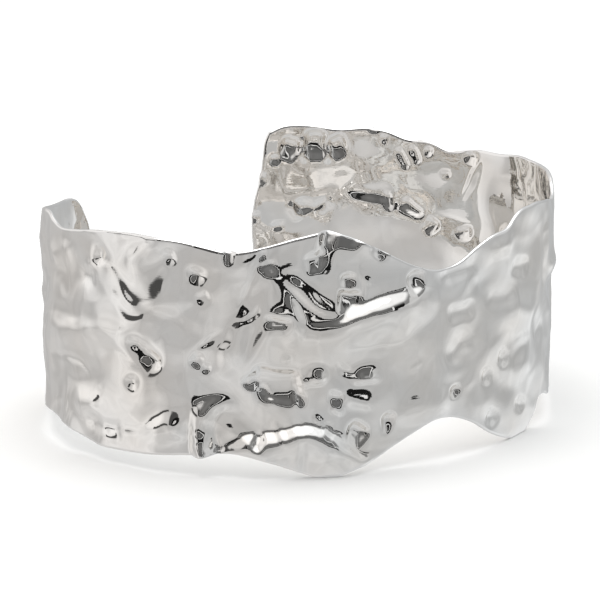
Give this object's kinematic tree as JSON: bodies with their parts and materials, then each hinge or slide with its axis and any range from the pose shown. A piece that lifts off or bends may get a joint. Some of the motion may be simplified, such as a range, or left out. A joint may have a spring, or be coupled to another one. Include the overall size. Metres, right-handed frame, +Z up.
{
  "type": "open cuff bangle",
  "caption": "Open cuff bangle of thin crumpled metal sheet, mirror polished, with wavy upper and lower edges and rounded ends, that slips over a wrist through its gap.",
  "frame": {"origin": "middle of the bounding box's base, on the surface that the cuff rests on", "axes": "+Z up along the wrist's axis, +Y out through the gap, +X across the wrist"},
  "size_m": [0.066, 0.055, 0.0298],
  "materials": {
    "silver_plate": "silver-tone plate, polished to a mirror over crumpled sheet"
  },
  "bodies": {
    "root": {"cuff": "silver_plate"}
  },
  "joints": []
}
